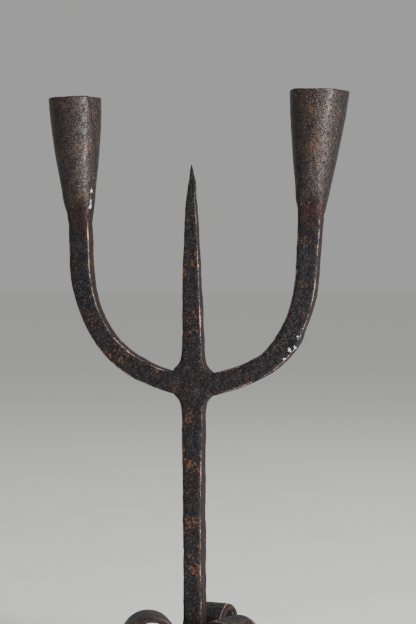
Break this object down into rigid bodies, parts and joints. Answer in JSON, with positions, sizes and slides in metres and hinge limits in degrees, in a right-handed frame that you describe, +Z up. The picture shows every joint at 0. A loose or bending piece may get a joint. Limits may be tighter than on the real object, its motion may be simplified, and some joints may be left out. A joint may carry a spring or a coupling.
{
  "type": "candelabrum",
  "caption": "Forged iron candelabrum: a spiked stem on arched strap legs, with curved arms that carry rolled conical candle sockets.",
  "frame": {"origin": "on the stem's axis at the level of the feet's undersides", "axes": "+Z up along the stem, +X along the arms towards the wider socket, -Y the front"},
  "size_m": [0.1795, 0.1365, 0.3515],
  "materials": {
    "bar_iron": "hammered bar, waxed, brown-black with rust flecks",
    "rolled_iron": "rolled sheet, granular satin patina",
    "strap_iron": "hammered strap, dull brown-black"
  },
  "bodies": {
    "root": {"stem": "bar_iron", "left_arm": "bar_iron", "right_arm": "bar_iron", "left_socket": "rolled_iron", "right_socket": "rolled_iron", "back_leg": "strap_iron", "left_leg": "strap_iron", "right_leg": "strap_iron", "rivet_washer": "strap_iron"}
  },
  "joints": []
}
